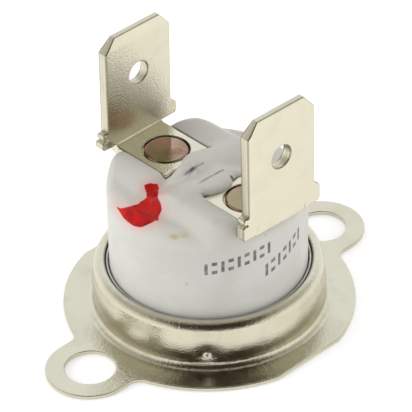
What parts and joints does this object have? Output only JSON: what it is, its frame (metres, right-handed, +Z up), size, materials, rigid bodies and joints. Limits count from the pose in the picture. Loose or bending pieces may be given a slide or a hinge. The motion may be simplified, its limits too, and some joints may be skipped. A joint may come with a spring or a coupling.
{
  "type": "bimetal disc thermostat",
  "caption": "Snap-disc safety thermostat with a white ceramic body, nickel-plated flange collar with two screw ears, and bent blade terminals.",
  "frame": {"origin": "centre of the flange's underside, on the axis of the round ceramic body", "axes": "+Z up through the ceramic body towards the terminals, X along the line of the two ears, Y from the fixed terminal to the arm terminal"},
  "size_m": [0.0302, 0.0208, 0.0204],
  "materials": {
    "nickel_steel": "bright nickel plate, lightly rubbed",
    "cap_aluminium": "plain drawn",
    "bimetal": "rolled",
    "guide_moulding": "moulded phenolic",
    "pin_ceramic": "fired, matt",
    "white_ceramic": "fired, satin, with a red paint daub",
    "nickel_terminal": "satin nickel plate",
    "rivet_copper": "bright, dished",
    "spring_bronze": "rolled spring bronze",
    "contact_silver": "turned silver",
    "strip_brass": "rolled brass"
  },
  "bodies": {
    "housing": {"flange_collar": "nickel_steel", "sensing_cap": "cap_aluminium", "bimetal_disc": "bimetal", "pin_guide": "guide_moulding", "ceramic_body": "white_ceramic", "arm_terminal": "nickel_terminal", "fixed_terminal": "nickel_terminal", "arm_rivet": "rivet_copper", "fixed_rivet": "rivet_copper", "contact_arm": "spring_bronze", "fixed_strip": "strip_brass", "fixed_contact": "contact_silver", "arm_spacer": "strip_brass", "arm_washer": "strip_brass", "strip_washer": "strip_brass"},
    "pin": {"push_pin": "pin_ceramic"},
    "arm_tip": {"arm_contact": "contact_silver"}
  },
  "joints": [
    {"name": "pin_slide", "type": "slide", "parent": "housing", "child": "pin", "axis": [0, 0, 1], "range_m": [0, 0.0004], "stiffness_N_per_m": 30, "deforming": ["bimetal_disc"]},
    {"name": "arm_flex", "type": "hinge", "parent": "housing", "child": "arm_tip", "pos_m": [0, 0.00274, 0.0067], "axis": [-1, 0, 0], "range_deg": [0, 9], "deforming": ["contact_arm"]}
  ],
  "couplings": [
    {"joint": "arm_flex", "follows": "pin_slide", "rad_per_m": 366.1}
  ]
}
